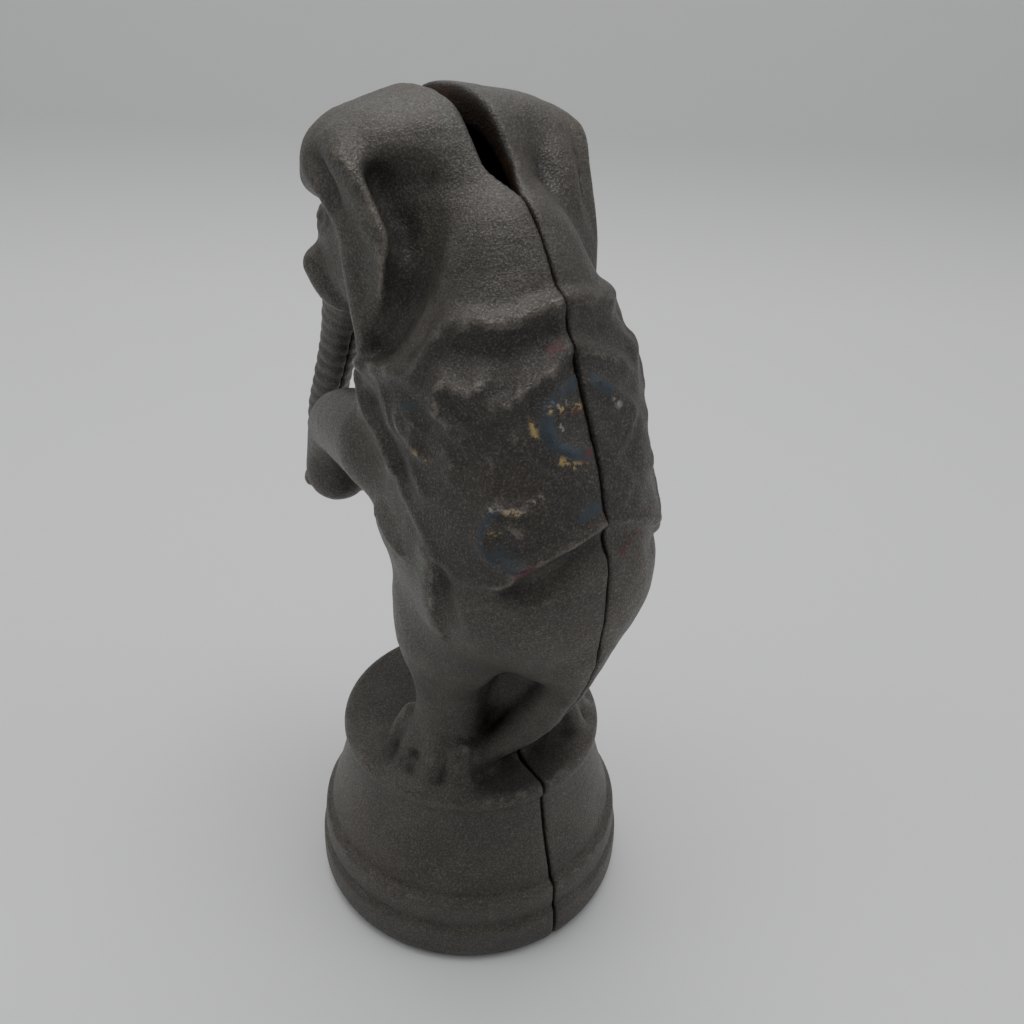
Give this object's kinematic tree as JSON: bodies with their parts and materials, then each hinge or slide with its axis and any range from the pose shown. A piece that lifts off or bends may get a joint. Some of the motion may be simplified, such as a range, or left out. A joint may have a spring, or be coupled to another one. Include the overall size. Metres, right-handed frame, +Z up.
{
  "type": "still bank",
  "caption": "Cast iron still bank: a circus elephant upright on a round tub, cast as two hollow halves drawn together by a screw, with a coin slot on the head.",
  "frame": {"origin": "middle of the bounding box, on the plane that the tub stands on", "axes": "+Z up, -Y the way the elephant faces, +X its left side; X = 0 is the parting plane of the two castings"},
  "size_m": [0.0548, 0.0896, 0.1344],
  "materials": {
    "left_half": "worn dark grey-brown cast iron, matt and grainy, with traces of old paint",
    "right_half": "worn dark grey-brown cast iron, matt and grainy, with traces of old paint",
    "screw": "darkened plain steel, lightly rusted"
  },
  "bodies": {
    "left_half": {"left_half": "left_half"},
    "right_half": {"right_half": "right_half"},
    "screw": {"screw": "screw"}
  },
  "joints": [
    {"name": "right_half_draw", "type": "slide", "parent": "left_half", "child": "right_half", "axis": [-1, 0, 0], "range_m": [0, 0.06]},
    {"name": "screw_draw", "type": "slide", "parent": "right_half", "child": "screw", "axis": [-1, 0, 0], "range_m": [0, 0.036]}
  ]
}
